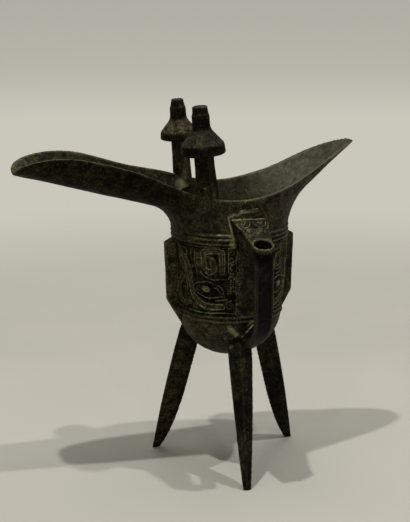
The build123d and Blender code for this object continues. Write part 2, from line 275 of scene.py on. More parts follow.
# Places about the cup's axis, in millimetres: the line that each follows, how far it reaches
# and how strong it is
crust_lines = (
    # The collar of the handle, and the brow in front of it
    (((-8.6, -31, 128), (-10.4, -31, 137), (-11.8, -31.5, 144)), 2.2, 1.0),
    (((-11.8, -31.5, 144), (-3, -32.5, 146.6), (5, -32.5, 147), (10.5, -31.5, 145)), 2.2, 0.72),
    (((10.5, -31.5, 145), (9.4, -32, 139)), 1.6, 0.75),
    (((-9.5, -32.2, 142.8), (9.5, -33.2, 142.8)), 1.0, 0.8),
    # The strings beside the collar
    (((-17, -26.5, 136.8), (-11, -29.5, 136.6)), 0.8, 0.75),
    (((-16, -27, 134.2), (-10.5, -29.5, 134.2)), 0.8, 0.8),
    (((-15, -27.5, 131.8), (-10, -29.5, 131.6)), 0.8, 0.75),
    # The root of the leg under the handle
    (((3, -29, 86), (-3, -29.5, 81), (-5.8, -27, 77.5)), 2.0, 1.0),
    (((-9, -26.5, 84), (-5, -27, 79), (-8.5, -27, 74)), 2.6, 0.85),
    # The round bottom on the side of the spout
    (((-24.5, -5.5, 76.6), (-18.7, -16.5, 76.6)), 1.0, 0.6),
    # The rear post and its foot
    (((-25, 14.5, 156), (-19.5, 16, 150)), 4.6, 0.95),
    (((-21, 15.5, 152), (-20.5, 17, 166), (-20, 17.5, 180)), 4.0, 0.72),
    # The foot of the front post
    (((-21.8, -23.4, 158), (-20.5, -24, 158)), 2.2, 0.55),
)
# The rear post, the flange below the spout, the beast's cheek and the leg below the spout
brown_lines = (
    (((-20, 19, 150), (-20, 21, 178)), 11, 1.0),
    (((-30, -4, 84), (-31, -6, 128)), 11, 0.7),
    (((-9, -36, 128), (-9, -38, 140)), 6, 0.9),
    (((-24, 14, 60), (-38, 24, 10)), 9, 0.5),
)
# The far wall below the rim, and the wall beside the handle
dust_lines = (
    (((-2, 29, 146.5), (14, 26, 145.5), (30, 15, 147)), 5, 0.68),
    (((-9, -28.5, 128), (-8, -28.5, 104)), 4.5, 0.74),
    (((-4, -29.5, 120), (-6, -29, 88)), 6, 0.66),
)


def note_places(mesh):
    """Keeps how much pale crust, brown skin and fine dust lies on each point."""
    about = (points_of(mesh) - cup_axis) / mm
    for name, lines in (("crust", crust_lines), ("brown", brown_lines), ("dust", dust_lines)):
        amount = np.zeros(len(about))
        for line, reach, strength in lines:
            distance = distance_to(np.array(line, float), about, 3 * reach)
            amount = np.maximum(amount, strength * np.exp(-((distance / reach) ** 2)))
        store(mesh, name, amount)


def dress(body, node, material):
    """Makes a piece stand for its node, move with the cup and wear a material."""
    body.data.shade_smooth()
    body.data.materials.clear()
    body.data.materials.append(material)
    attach(body, "root")
    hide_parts(node)


# Ornament of the band. Each line is drawn on the unrolled wall, in millimetres: the first number is the
# distance from the handle or from the flange at the back, the second the height above the lower strings.


def smooth_line(*places):
    """A smooth line through a few places."""
    places = np.array(places, float)
    ends = np.vstack((2 * places[0] - places[1], places, 2 * places[-1] - places[-2]))
    share = np.linspace(0, 1, 9)[:-1, None]
    parts = []
    for a, b, c, d in zip(ends, ends[1:], ends[2:], ends[3:]):
        turn = 2 * b + (c - a) * share + (2 * a - 5 * b + 4 * c - d) * share**2
        parts.append((turn + (3 * b - a - 3 * c + d) * share**3) / 2)
    return np.vstack([*parts, ends[-2:-1]])


def fret(across, height, size, hand):
    """Squared spiral of the thunder pattern."""
    corners = [(0, 0), (1, 0), (1, 1), (-1, 1), (-1, -1), (2, -1), (2, 2), (-2, 2), (-2, -2)]
    return np.array([(across + hand * x * size / 4, height + y * size / 4) for x, y in corners])


def distance_to(line, places, reach):
    """Distance from each place to a line, where it is within reach."""
    found = np.full(len(places), np.inf)
    near = np.all((places > line.min(0) - reach) & (places < line.max(0) + reach), axis=1)
    close = places[near]
    best = np.full(len(close), np.inf)
    for start, end in zip(line, line[1:]):
        along = end - start
        share = np.clip((close - start) @ along / max(along @ along, 1e-9), 0, 1)
        best = np.minimum(best, np.linalg.norm(close - start - share[:, None] * along, axis=1))
    found[near] = best
    return found


def thread_height(distance, width):
    """Cross-section of a raised thread, from 1 on its crest to 0 beside it."""
    share = np.clip(distance / (0.5 * width), 0, 1.4) / 1.4
    return (1 - share * share) ** 2


def ribbon_height(distance, half_width, rim):
    """Cross-section of a raised ribbon with a bead along each edge."""
    flat = 0.25 / (1 + np.exp(np.clip((distance - half_width) * 6, -40, 40)))
    bead = 0.75 * np.exp(-(((distance - half_width + 0.5 * rim) / (0.42 * rim)) ** 2))
    return flat + bead


# Half of the mask: the panel's border, horn, brow, eye, cheek, ear, jaw, nostril, body and quills
mask_threads = (
    smooth_line((6, 1.5), (6, 20), (6, 37.5)),
    smooth_line((10, 24.5), (9.9, 31), (10, 37.5)),
    smooth_line((6, 37.3), (25, 37.4), (44.5, 37.3)),
    smooth_line((6, 1.8), (25, 1.7), (44.5, 1.8)),
    smooth_line((25.5, 24), (22, 21.2), (17.5, 20.2), (10.8, 20.4)),
    smooth_line((12.5, 11), (14.2, 15.6), (20.7, 18.8), (26.8, 17.8), (31, 15.6)),
    smooth_line((31, 15.6), (28.6, 12.6), (23.7, 10.5), (18, 10.1), (12.5, 11)),
    smooth_line((17, 8.4), (14.5, 8.6), (11.5, 9.3)),
    smooth_line((40.8, 35.7), (36, 35.2), (33.6, 35), (33.8, 31.9), (36.5, 33), (40.8, 35.7)),
    smooth_line((8.6, 8.8), (10.8, 8), (11.6, 5.9), (10, 4.4), (8.5, 5.6), (9.5, 6.8)),
    smooth_line((40.6, 31.5), (39.9, 27), (40.4, 22)),
    smooth_line((44, 34.8), (43.4, 27), (44.2, 19)),
    smooth_line((28.2, 35), (28.6, 29), (27.6, 24)),
    smooth_line((30.9, 35), (31, 32), (30.4, 29.6)),
    smooth_line((13.4, 24.4), (13, 31), (13.4, 34.6)),
    smooth_line((30, 26.6), (31.4, 24), (30.6, 20.6), (33, 17.6)),
    smooth_line((34.6, 26), (34.2, 21.6), (35.2, 17.4), (34.6, 13)),
    smooth_line((15, 13.2), (16.4, 15), (18, 16)),
    smooth_line((26.8, 15.9), (28, 14.8), (27.2, 13.4)),
    smooth_line((31.4, 8.8), (28.4, 6.4), (24, 4), (18, 3.3)),
    smooth_line((41.6, 25), (42, 21.6), (41.4, 19.4)),
)
mask_ribbons = (
    np.array(((13.3, 24.4), (13.2, 34.6), (15, 35.4), (21.8, 35), (23, 33.6), (22.9, 26.4), (21.6, 24.6))),
    smooth_line((21.6, 24.6), (19.4, 24), (17.7, 25.6), (17.8, 28.4), (18.6, 30.4)),
    smooth_line((42.6, 36), (34.8, 29.4), (33, 22.5), (31.2, 12.4), (27.4, 7.6), (21, 5.3), (14, 5)),
    smooth_line(
        (38, 30), (36.4, 24.5), (37.6, 19.8), (41, 16.6), (43.4, 12.6), (42, 7.4), (37.4, 4.8), (33.6, 6.2)
    ),
)
mask_frets = (
    fret(37.3, 11.8, 3.6, 1),
    fret(26.2, 32, 3.4, -1),
    fret(29.6, 4.3, 3.0, 1),
    fret(43.4, 4.6, 2.6, -1),
    fret(25.6, 27.4, 3.0, 1),
    fret(38.6, 26.6, 2.6, -1),
    fret(33.4, 9.2, 2.8, -1),
    fret(20.6, 31, 2.6, 1),
    fret(9.4, 13.2, 2.2, -1),
)
hatch_heights = np.arange(12.6, 19.2, 1.25)
eye_place = np.array((22.3, 14.7))
eye_radii = np.array((4.0, 3.0))
ribbon_half_width = 1.75


def mask_relief(across, height, sizes):
    """Height of the mask over its ground, as a share of the full relief, at places on half of it."""
    places = np.stack((across, height), axis=1)
    thread = sizes.thread / mm
    relief = np.zeros(len(places))
    for line in mask_threads:
        relief = np.maximum(relief, 0.85 * thread_height(distance_to(line, places, 2), thread))
    for line in mask_ribbons:
        relief = np.maximum(relief, ribbon_height(distance_to(line, places, 4), ribbon_half_width, thread))
    for line in mask_frets:
        relief = np.maximum(relief, 0.5 * thread_height(distance_to(line, places, 2), 0.75 * thread))
    for rise in hatch_heights:
        line = np.array(((7.4, rise), (12.2 - 0.12 * (rise - 12), rise)))
        relief = np.maximum(relief, 0.5 * thread_height(distance_to(line, places, 2), 0.6 * thread))
    from_eye = places - eye_place
    eye = np.linalg.norm(from_eye / eye_radii, axis=1)
    boss = np.sqrt(np.clip(1 - (eye / 0.6) ** 2, 0, 1))
    moat = np.exp(-(((eye - 0.9) / 0.2) ** 2))
    slit = np.exp(-((from_eye[:, 1] / 0.45) ** 2)) * (np.abs(from_eye[:, 0]) < 2)
    return np.maximum(relief, 1.25 * boss - 0.35 * boss * slit) - 0.3 * moat


def facing_in(points, normals):
    """True where a skin faces the inside of the cup, the spout or the tail."""
    from_axis = points - cup_axis
    in_bowl = np.abs(from_axis[:, 0]) < bore_radius
    to_axis = -from_axis * (1, 1, 0)
    up_and_to_middle = (0, -1, 0) * from_axis + (0, 0, 8 * mm)
    inward = np.where(in_bowl[:, None], to_axis, up_and_to_middle)
    return np.sum(inward * normals, axis=1) > 0


def scroll(across, out, radius, hand):
    """Round spiral that winds inward one turn and a half."""
    turn = np.linspace(0, 3 * math.pi, 28)
    reach = radius * (1 - 0.8 * turn / turn[-1])
    return np.stack((across + hand * reach * np.cos(turn), out - reach * np.sin(turn)), axis=1)


# Half of the beast's face, seen from above: distance from its middle and distance from the cup's axis
face_threads = (
    smooth_line((0, 33.2), (5, 33.3), (9, 33.9)),
    smooth_line((1.0, 35), (2, 37.6), (4.4, 38.8), (6.8, 37.6), (7.6, 35.2)),
    smooth_line((3.2, 35), (4.3, 36.6), (5.5, 35.2)),
    smooth_line((8.4, 36), (7.6, 39), (5.6, 41.6), (5.2, 43)),
    smooth_line((0.4, 40), (0.6, 42), (1.6, 43.4)),
)
face_eye = (2.9, 41.0)
face_eye_radius = 1.7
# Its snout: the face falls by a share of its length from a start, given as distance and height,
# counts down to a depth below its plane, and holds a hole with a lip round it
face_fall = 0.468
face_start = (44.0, 137.3)
face_depth = 1.7
hole_out = 52.5
hole_radius = 4.6
hole_depth = 3.4
lip_radius = 5.1
lip_width = 1.15
lip_height = 0.8
lip_slope = 0.1
# Its cheek, seen from the side: distance from the cup's axis and height
cheek_threads = (
    scroll(36.5, 134.4, 2.6, -1),
    smooth_line((32.5, 139.5), (37.5, 138), (42, 133.8), (45.5, 130)),
    smooth_line((33, 129.5), (37, 129.2), (41, 130), (44, 128.4)),
)


def about_handle(points):
    """Millimetres of points across the handle, out from the cup's axis and above the ground."""
    return ((points - cup_axis) / mm * (1, -1, 1)).T


def head_relief(points, normals, thread):
    """Height of the beast's threads as a share of the full height, and the sides that have them."""
    across, out, rise = about_handle(points)
    wander = 1.4 * (noise(points, 3.2 * mm, 21) - 0.5)
    drift = 1.4 * (noise(points, 3.2 * mm, 22) - 0.5)
    face = np.stack((np.abs(across) + wander, out + drift), axis=1)
    cheek = np.stack((out + wander, rise + drift), axis=1)
    on_face = (normals[:, 2] > 0.45) & (out < 43.5)
    on_cheek = (np.abs(normals[:, 0]) > 0.55) & (out < 47)
    relief = np.zeros(len(points))
    for lines, places, chosen in ((face_threads, face, on_face), (cheek_threads, cheek, on_cheek)):
        for line in lines:
            height = thread_height(distance_to(line, places, 2), 0.8 * thread)
            relief = np.maximum(relief, np.where(chosen, height, 0))
    eye = np.linalg.norm(face - face_eye, axis=1) / face_eye_radius
    relief = np.maximum(relief, np.where(on_face, np.sqrt(np.clip(1 - eye * eye, 0, 1)), 0))
    worn = np.clip(0.1 + 1.5 * noise(points, 2.6 * mm, 23), 0, 1)
    return relief * worn, on_face | on_cheek


def carve_head(mesh):
    """Raises the threads on the beast's face and cheeks, and makes the lip and the hole of its snout."""
    sizes = bpy.context.scene.jue_sizes
    points = points_of(mesh)
    normals = normals_of(mesh)
    across, out, rise = about_handle(points)
    relief, carved = head_relief(points, normals, sizes.thread / mm)
    points += normals * (relief * 0.7 * sizes.relief)[:, None]
    along = (out - hole_out) * math.hypot(1, face_fall)
    from_hole = np.hypot(across, along)
    on_top = rise > face_start[1] - face_fall * (out - face_start[0]) - face_depth
    lip = on_top * thread_height(np.abs(from_hole - lip_radius), lip_width)
    hole = on_top * np.clip(1 - (from_hole / hole_radius) ** 4, 0, 1)
    points[:, 2] += (lip * (lip_height + lip_slope * along) - hole * hole_depth) * mm
    move_points(mesh, points)
    soften(mesh, on_top * np.clip((6.5 - from_hole) / 1.5, 0, 1), 3)
    store(mesh, "relief", 0.5 * np.maximum(relief, 0.8 * lip))
    store(mesh, "ground", np.where(carved, np.clip(0.6 - 2 * relief, 0, 1), 0))
    # Painted shade in the snout's hole and painted shadow on the chin below the lip; the whole head is also
    # a little darker, most on faces that turn to the sides
    hole_shade = on_top * np.clip((hole_radius + 0.2 - from_hole) / 0.5, 0, 1)
    chin_shadow = 0.9 * ((out > hole_out) & ~on_top)
    cheek_darkening = 0.2 + 0.4 * np.clip((np.abs(normals[:, 0]) - 0.4) / 0.3, 0, 1)
    store(mesh, "shade_and_soil", np.maximum(hole_shade, np.maximum(chin_shadow, cheek_darkening)))


def refine_band(mesh):
    """Splits the faces of the ornament band in four, so that the lines of the ornament show."""
    shape = bmesh.new()
    shape.from_mesh(mesh)
    edges = set()
    for face in shape.faces:
        middle = face.calc_center_median()
        outward = Vector((middle.x - axis_x, middle.y - axis_y, 0))
        if band_bottom < middle.z < band_top and outward.dot(face.normal) > 0:
            edges.update(face.edges)
    bmesh.ops.subdivide_edges(shape, edges=list(edges), cuts=1, use_grid_fill=True)
    shape.to_mesh(mesh)
    shape.free()


def carve_band(mesh, sizes):
    """Raises the two masks of the band, one about the handle and one about the flange at the back."""
    points = points_of(mesh)
    normals = normals_of(mesh)
    from_axis = points - cup_axis
    angle = np.arctan2(from_axis[:, 0], -from_axis[:, 1])
    angle = np.where(np.abs(angle) > math.pi / 2, math.pi - np.abs(angle), np.abs(angle))
    across = angle * band_radius / mm
    height = (points[:, 2] - band_bottom) / mm
    outside = np.sum(from_axis * (1, 1, 0) * normals, axis=1) > 0
    chosen = outside & (points[:, 2] > band_bottom) & (points[:, 2] < band_top)
    relief = np.zeros(len(points))
    wobble = noise(points[chosen], 5 * mm, 11) - 0.5
    lift = noise(points[chosen], 5 * mm, 12) - 0.5
    relief[chosen] = mask_relief(across[chosen] + wobble, height[chosen] + lift, sizes)
    worn = noise(points[chosen], 7 * mm, 13) + noise(points[chosen], 2.2 * mm, 14)
    relief[chosen] *= np.clip(1.3 * worn - 0.45, 0, 1)
    move_points(mesh, points + normals * (relief * sizes.relief)[:, None])
    store(mesh, "relief", np.clip(relief, 0, 1))
    store(mesh, "ground", np.where(chosen & (across > 6), np.clip(1 - 2.2 * relief, 0, 1), 0))


def cut_piece(mesh, name, planes):
    """The part of a skin on the positive side of some upright planes, closed where it is cut."""
    shape = bmesh.new()
    shape.from_mesh(mesh)
    for place, direction in planes:
        cut = bmesh.ops.bisect_plane(
            shape,
            geom=[*shape.verts, *shape.edges, *shape.faces],
            plane_co=(place, 0, 0),
            plane_no=(direction, 0, 0),
            clear_inner=True,
        )
        rim = [item for item in cut["geom_cut"] if isinstance(item, bmesh.types.BMEdge)]
        for edge in rim:
            edge.smooth = False
        bmesh.ops.triangle_fill(shape, edges=rim, normal=(-direction, 0, 0))
    piece = bpy.data.meshes.new(name)
    shape.to_mesh(piece)
    shape.free()
    return new_object(name, piece)


# Materials


def add(tree, kind, values=None, links=None, stops=(), **settings):
    """A new node with its settings, its fixed values, the sockets that feed it and the stops of its ramp."""
    node = tree.nodes.new("ShaderNode" + kind)
    for name, value in settings.items():
        setattr(node, name, value)
    for name, value in (values or {}).items():
        node.inputs[name].default_value = value
    for name, source in (links or {}).items():
        tree.links.new(source, node.inputs[name])
    if stops:
        for element, (position, tone) in zip(node.color_ramp.elements, stops):
            element.position = position
            element.color = (*np.resize(tone, 3), 1)
    return node


# Unevenness of the patina: width of a lump in millimetres, detail, roughness and distortion
patina_lumps = {
    "area": (24, 6, 0.62, 0.0),
    "bloom": (8, 9, 0.72, 0.5),
    "mottle": (3.4, 7, 0.75, 0.0),
    "patch": (2.4, 8, 0.72, 0.0),
    "speck": (1.1, 3, 0.6, 0.0),
    "grain": (1.0, 5, 0.75, 0.0),
}
# What the skins keep for the patina and the painted shade at each point
patina_marks = ("brown", "ground", "relief", "wear", "inside", "cavity", "shade_and_soil", "crust", "dust")


def patinated_bronze(name, colours, green_share, brown_share, gloss):
    """Tin bronze cast in clay moulds and long buried.

    To the eye it is a brown-black skin with olive bloom, rubbed edges, dirt in the hollows and pale crust,
    with painted shade where the skins mark it.
    """
    material = bpy.data.materials.new(name)
    material.use_nodes = True
    tree = material.node_tree
    place = add(tree, "TexCoord").outputs["Object"]
    lumps = {}
    for lump, (width, detail, roughness, distortion) in patina_lumps.items():
        values = {"Scale": 1 / (width * mm), "Detail": detail}
        values |= {"Roughness": roughness, "Distortion": distortion}
        lumps[lump] = add(tree, "TexNoise", values, {"Vector": place}).outputs["Fac"]
    marks = {}
    for mark in patina_marks:
        marks[mark] = add(tree, "Attribute", attribute_name=mark).outputs["Fac"]

    # Brown and black areas a few centimetres across
    browned = add(tree, "Math", {1: 0.4}, {0: marks["brown"], 2: lumps["area"]}, operation="MULTIPLY_ADD")
    skin = add(
        tree,
        "ValToRGB",
        links={"Fac": browned.outputs[0]},
        stops=((0.62 - 0.4 * brown_share, colours.dark), (0.78 - 0.2 * brown_share, colours.brown)),
    )
    # Green bloom in ragged spots of several millimetres
    bloom = add(
        tree,
        "ValToRGB",
        links={"Fac": lumps["bloom"]},
        stops=((0.62 - 0.3 * green_share, 0.0), (0.76 - 0.3 * green_share, 0.85)),
    )
    # Mottling of a few millimetres, from nearly black to twice as light
    mottle = add(tree, "ValToRGB", links={"Fac": lumps["mottle"]}, stops=((0.41, 0.1), (0.6, 2.0)))
    # Dirt in the ground between the raised threads
    held = add(
        tree,
        "MapRange",
        {"From Min": 0.4, "From Max": 0.62, "To Min": 0.97, "To Max": 0.45},
        {"Value": lumps["mottle"]},
    )
    ground = add(tree, "Math", {}, {0: marks["ground"], 1: held.outputs[0]}, operation="MULTIPLY")
    # Handled edges and raised threads, broken up by the mottling
    raised = add(tree, "Math", {1: 1.15}, {0: marks["relief"], 2: marks["wear"]}, operation="MULTIPLY_ADD")
    rubbed = add(
        tree, "Math", {}, {0: raised.outputs[0], 1: lumps["mottle"]}, operation="MULTIPLY", use_clamp=True
    )
    # Grain of the skin, from a fifth to nearly twice as light, drawn a millimetre across so that it shows
    speckle = add(tree, "ValToRGB", links={"Fac": lumps["grain"]}, stops=((0.39, 0.2), (0.64, 1.75)))
    # The paler and more even skin inside the mouth
    inner = add(tree, "Math", {1: 0.72}, {0: marks["inside"]}, operation="MULTIPLY")
    inner_tone = add(
        tree,
        "ValToRGB",
        links={"Fac": lumps["mottle"]},
        stops=((0.34, [0.45 * c for c in colours.inner]), (0.66, [1.3 * c for c in colours.inner])),
    )
    # Dark hollows, and painted shade where the skins mark it
    shade_and_hollows = add(tree, "Math", {}, {0: marks["cavity"], 1: marks["shade_and_soil"]}, operation="MAXIMUM")
    shade_and_hollow_share = add(tree, "Math", {1: 0.92}, {0: shade_and_hollows.outputs[0]}, operation="MULTIPLY")
    # Pale earth crust in patches
    earth = add(tree, "Math", {}, {0: lumps["patch"], 1: marks["crust"]}, operation="MULTIPLY")
    crust = add(tree, "ValToRGB", links={"Fac": earth.outputs[0]}, stops=((0.26, 0.0), (0.46, 0.9)))
    # Fine pale dust in specks
    powder = add(tree, "Math", {}, {0: lumps["speck"], 1: marks["dust"]}, operation="MULTIPLY")
    dust = add(tree, "ValToRGB", links={"Fac": powder.outputs[0]}, stops=((0.36, 0.0), (0.55, 0.75)))

    # Layers from the skin up: how each lies on what is below, its share and its colour
    layers = (
        ("MIX", bloom.outputs["Color"], (*colours.green, 1)),
        ("MULTIPLY", 1.0, mottle.outputs["Color"]),
        ("MIX", ground.outputs[0], (*[c / 3 for c in colours.dark], 1)),
        ("MIX", rubbed.outputs[0], (*colours.worn, 1)),
        ("MULTIPLY", 1.0, speckle.outputs["Color"]),
        ("MIX", inner.outputs[0], inner_tone.outputs["Color"]),
        ("MIX", shade_and_hollow_share.outputs[0], (*[c / 4 for c in colours.dark], 1)),
        ("MIX", crust.outputs["Color"], (*colours.crust, 1)),
        ("MIX", dust.outputs["Color"], (*colours.crust, 1)),
    )
    tone = skin.outputs["Color"]
    for blend, share, colour in layers:
        values = {}
        links = {6: tone}
        for socket, source in ((0, share), (7, colour)):
            if isinstance(source, bpy.types.NodeSocket):
                links[socket] = source
            else:
                values[socket] = source
        tone = add(tree, "Mix", values, links, data_type="RGBA", blend_type=blend).outputs[2]

    # Green and crusted places are dull, the brown skin keeps a low gloss, and dirt, hollows and painted
    # shade have none
    dull = add(tree, "Math", {}, {0: bloom.outputs["Color"], 1: crust.outputs["Color"]}, operation="MAXIMUM")
    rough = add(tree, "MapRange", {"To Min": 0.7 - 0.25 * gloss, "To Max": 0.9}, {"Value": dull.outputs[0]})
    metal = add(tree, "MapRange", {"To Min": 0.4, "To Max": 0.0}, {"Value": dull.outputs[0]})
    dirt_and_shade = add(tree, "Math", {}, {0: shade_and_hollows.outputs[0], 1: ground.outputs[0]}, operation="MAXIMUM")
    sheen = add(tree, "MapRange", {"To Min": 0.2, "To Max": 0.0}, {"Value": dirt_and_shade.outputs[0]})
    # Fine corrosion that is smaller than the faces of the skin
    bump = add(tree, "Bump", {"Strength": 0.5, "Distance": 0.25 * mm}, {"Height": lumps["grain"]})

    shader = tree.nodes["Principled BSDF"]
    tree.links.new(tone, shader.inputs["Base Color"])
    tree.links.new(rough.outputs[0], shader.inputs["Roughness"])
    tree.links.new(metal.outputs[0], shader.inputs["Metallic"])
    tree.links.new(sheen.outputs[0], shader.inputs["Specular IOR Level"])
    tree.links.new(bump.outputs[0], shader.inputs["Normal"])
    return material


# Each bronze's share of green bloom, share of brown skin and gloss
finishes = {
    "cast_bronze_mottled_patina": (0.55, 0.5, 0.4),
    "cast_bronze_handled_patina": (0.0, 0.25, 1.0),
    "cast_bronze_green_patina": (0.5, 0.35, 0.3),
}


def bronze_for(name):
    """The bronze of a group of pieces, made once."""
    colours = bpy.context.scene.jue_colours
    return bpy.data.materials.get(name) or patinated_bronze(name, colours, *finishes[name])


def toward_axis(node, distance):
    """A short level way from a node to the cup's axis."""
    low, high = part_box(node)
    way = Vector((axis_x, axis_y, 0)) - (low + high) / 2
    way.z = 0
    return distance * way.normalized()


def cast_single(node, material, grain=None, seat=None, shape=None):
    """One piece that stands for one node, with an optional function that models it further."""
    sizes = bpy.context.scene.jue_sizes
    body = cast_copy(node + "_cast", [node], grain or sizes.small_grain, sizes.rounding, seat)
    even_out(body.data, np.ones(len(body.data.vertices)), 8)
    if shape:
        shape(body.data)
    roughen(body.data, sizes, 0.6)
    note_wear(body.data)
    note_places(body.data)
    dress(body, node, material)


class JUE_OT_shell(Operator):
    """Cast the cup with its spout and tail as one skin, raise the ornament and part it at the joints"""

    bl_idname = "jue.shell"
    bl_label = "Cup, spout and tail"

    def execute(self, context):
        sizes = context.scene.jue_sizes
        whole = cast_copy("whole_shell", ["cup_body", "spout", "tail"], sizes.shell_grain, sizes.rounding)
        mesh = whole.data
        away = np.abs((points_of(mesh) - cup_axis)[:, 0])
        fade = 6 * mm
        even_out(mesh, np.clip((away - bore_radius + fade) / fade, 0, 1), 30)
        refine_band(mesh)
        carve_band(mesh, sizes)
        points = points_of(mesh)
        toward_tail = (points - cup_axis)[:, 0]
        inside = facing_in(points, normals_of(mesh))
        # The inside is palest at the root of the tail, and painted shade makes the outside blackest on the
        # spout
        spout_way = spout_joint - axis_x
        tail_way = tail_joint - axis_x
        tail_end = tail_way + 34 * mm
        pale = np.interp(toward_tail, (spout_way, 0, tail_way, tail_end), (0.12, 0.75, 1.25, 0.3))
        store(mesh, "inside", inside * pale)
        # Painted shade on the spout's outer side, which turns away from the lamps above
        spout_shade = np.interp(toward_tail, (spout_way, -18 * mm), (0.7, 0))
        store(mesh, "shade_and_soil", ~inside * spout_shade)
        roughen(mesh, sizes)
        note_wear(mesh)
        note_places(mesh)
        bronze = bronze_for("cast_bronze_mottled_patina")
        parts = (
            ("cup_body", [(spout_joint, 1), (tail_joint, -1)]),
            ("spout", [(spout_joint, -1)]),
            ("tail", [(tail_joint, 1)]),
        )
        for node, planes in parts:
            piece = cut_piece(mesh, node + "_cast", planes)
            dress(piece, node, bronze)
        bpy.data.objects.remove(whole)
        return {"FINISHED"}


def set_post(mesh):
    """Draws the foot of a post into the neck's wall, over a long way outside and a short one inside, and
    paints shade on the front post.
    """
    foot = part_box("front_post")[0].z
    outside_way = 11 * mm
    inside_way = 4 * mm
    points = points_of(mesh)
    from_axis = (points - cup_axis) * (1, 1, 0)
    reach = np.linalg.norm(from_axis, axis=1)
    way = np.where(reach > neck_middle, outside_way, inside_way)
    share = np.clip((foot + way - points[:, 2]) / (0.8 * way), 0, 1) ** 1.5
    closer = neck_middle + (reach - neck_middle) * (1 - 0.8 * share)
    points += from_axis * (closer / reach - 1)[:, None]
    move_points(mesh, points)
    soften(mesh, share, 10)
    # Painted shade: the front post is darkened, least at its foot and most from 14 mm above it
    front_post_shade = 0.6 if points[:, 1].mean() < axis_y else 0.0
    store(mesh, "shade_and_soil", front_post_shade * np.clip((points[:, 2] - foot) / (14 * mm), 0.3, 1))


def set_cap(mesh):
    """Rounds the edges of a cap, darkens it a little all over and paints shade on its upright band and
    underside, which turn away from the lamps above.
    """
    soften(mesh, np.ones(len(mesh.vertices)), 18)
    # Painted shade on the faces that turn sideways and down, over a little darkening everywhere
    store(mesh, "shade_and_soil", 0.15 + 0.6 * np.clip((0.45 - normals_of(mesh)[:, 2]) / 0.3, 0, 1))


def lead_in(mesh, node, way, depth):
    """Lets the root of a leg run into the bottom of the cup, and blackens the leg a little."""
    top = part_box(node)[1].z
    bury(mesh, top - way, top, depth)
    store(mesh, "shade_and_soil", np.full(len(mesh.vertices), 0.45))


def set_side_leg(mesh):
    """Leads a leg below the spout or the tail into the cup."""
    lead_in(mesh, "tail_leg", 6 * mm, 1.8 * mm)


def set_handle_leg(mesh):
    """Leads the leg under the handle into the cup over a longer way."""
    lead_in(mesh, "handle_leg", 14 * mm, 2.8 * mm)


def set_strap(mesh):
    """Lowers the web in the strap's bend towards the spout and lets the strap's end run into the cup."""
    points = points_of(mesh)
    across, out, rise = about_handle(points)
    margin = 0.2
    bend_drop = np.sqrt(np.clip(bend_inside**2 - (out - bend_out) ** 2, 0, None))
    bend_floor = bend_rise - bend_drop + margin
    in_bend = (rise > web_foot) & (rise < web_top + 1.5 * margin) & (out < bend_out + bend_inside)
    in_bend &= np.hypot(out - bend_out, rise - bend_rise) < bend_inside
    slant = np.interp(across, (-web_half_width, web_half_width), (web_spout_side, web_top))
    crest = np.clip(bend_floor, slant, web_top)
    lowered = web_foot + (rise - web_foot) * (crest - web_foot) / (web_top - web_foot)
    lowered = np.maximum(lowered, np.minimum(rise, bend_floor))
    points[:, 2] = np.where(in_bend, lowered, rise) * mm
    move_points(mesh, points)
    soft_top = 92
    soften(mesh, np.clip((soft_top - rise) / 8, 0, 1), 8)
    # The strap is darker all over, and painted shadow darkens its top, under the beast's chin
    chin_shadow_way = 6
    store(mesh, "shade_and_soil", np.clip((rise - strap_top + chin_shadow_way) / chin_shadow_way, 0.4, 1))
    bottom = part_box("handle_strap")[0].z
    bury(mesh, bottom + 17 * mm, bottom + 4 * mm, 1.6 * mm)


def set_collar(mesh):
    """Bows the top of the collar and makes it lumpy, as the crust on it is."""
    points = points_of(mesh)
    across, _, rise = about_handle(points)
    bow_start = 138
    bow_way = 9
    near_top = np.clip((rise - bow_start) / bow_way, 0, 1)
    points[:, 2] -= near_top * np.interp(across, (-11.8, -3, 5, 11.8), (3.2, 0.4, 0, 2.6)) * mm
    lumps = noise(points, 2.6 * mm, 31) * noise(points, 5.5 * mm, 32)
    move_points(mesh, points - normals_of(mesh) * (1.3 * mm * lumps)[:, None])


def wear_down(mesh):
    """Rubs the edges of a rib round."""
    soften(mesh, np.ones(len(mesh.vertices)), 10)


class JUE_OT_posts(Operator):
    """Cast the two posts and their caps"""

    bl_idname = "jue.posts"
    bl_label = "Posts and caps"

    def execute(self, context):
        bronze = bronze_for("cast_bronze_mottled_patina")
        for node in ("front_post", "rear_post"):
            cast_single(node, bronze, seat=Vector((0, 0, 1.5 * mm)), shape=set_post)
        for node in ("front_post_cap", "rear_post_cap"):
            cast_single(node, bronze, shape=set_cap)
        return {"FINISHED"}


class JUE_OT_handle(Operator):
    """Cast the strap, the beast's head and the collar at its root"""

    bl_idname = "jue.handle"
    bl_label = "Handle"

    def execute(self, context):
        mottled = bronze_for("cast_bronze_mottled_patina")
        smooth_bronze = bronze_for("cast_bronze_handled_patina")
        cast_single("handle_strap", smooth_bronze, shape=set_strap)
        seat = toward_axis("handle_head", 0.8 * mm)
        fine = 0.3 * mm
        cast_single("handle_head", mottled, grain=fine, seat=seat, shape=carve_head)
        cast_single(
            "handle_collar", mottled, grain=fine, seat=seat, shape=set_collar
        )
        return {"FINISHED"}


class JUE_OT_legs(Operator):
    """Cast the three legs"""

    bl_idname = "jue.legs"
    bl_label = "Legs"

    def execute(self, context):
        bronze = bronze_for("cast_bronze_green_patina")
        shapes = {"handle_leg": set_handle_leg, "spout_leg": set_side_leg, "tail_leg": set_side_leg}
        for node, shape in shapes.items():
            seat = toward_axis(node, 0.35 * mm) + Vector((0, 0, 1.3 * mm))
            cast_single(node, bronze, seat=seat, shape=shape)
        return {"FINISHED"}


